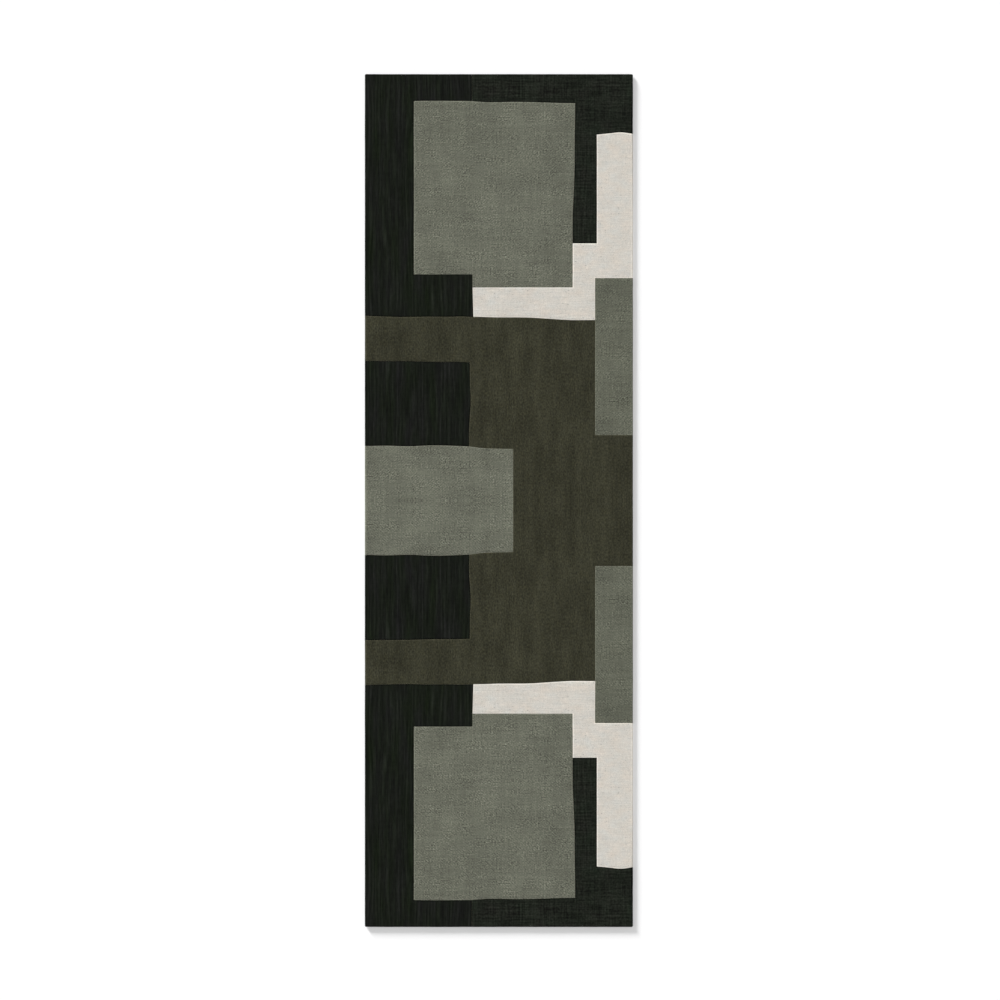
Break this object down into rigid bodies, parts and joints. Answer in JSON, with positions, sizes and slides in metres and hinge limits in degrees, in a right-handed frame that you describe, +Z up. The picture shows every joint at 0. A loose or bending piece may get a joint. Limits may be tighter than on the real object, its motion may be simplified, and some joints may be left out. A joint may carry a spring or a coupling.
{
  "type": "runner rug",
  "caption": "Long flat-woven runner rug with an inlaid colour-block face in black, sage, slate, cream and olive, on felt with a non-slip base.",
  "frame": {"origin": "on the floor under the middle of the rug", "axes": "+Y along the rug to its head end, +X across it to the right as seen from above, +Z up out of the face"},
  "size_m": [0.766, 2.438, 0.0078],
  "materials": {
    "black_strie": "matt black slubbed cloth with a lengthwise grain",
    "black_linen": "matt black cross-grained linen",
    "sage_linen": "matt sage linen with a fine weave",
    "slate_twill": "matt slate-green cloth with a fine twill",
    "cream_linen": "matt cream linen, faintly mottled",
    "olive_felt": "matt olive cloth with a felted, mottled face",
    "carrier": "natural woven backing cloth",
    "felt": "grey needled felt",
    "base": "matt dark non-slip backing with raised dots"
  },
  "bodies": {
    "root": {"face_black_strie_head": "black_strie", "face_black_strie_foot": "black_strie", "face_black_linen_head": "black_linen", "face_black_linen_foot": "black_linen", "face_sage_square_head": "sage_linen", "face_sage_square_foot": "sage_linen", "face_cream_step_head": "cream_linen", "face_cream_step_foot": "cream_linen", "face_slate_strip_head": "slate_twill", "face_slate_strip_foot": "slate_twill", "face_olive_field": "olive_felt", "face_black_block_head": "black_strie", "face_black_block_foot": "black_strie", "face_sage_block_middle": "sage_linen", "carrier_cloth": "carrier", "felt_cushion": "felt", "nonslip_base": "base"}
  },
  "joints": []
}
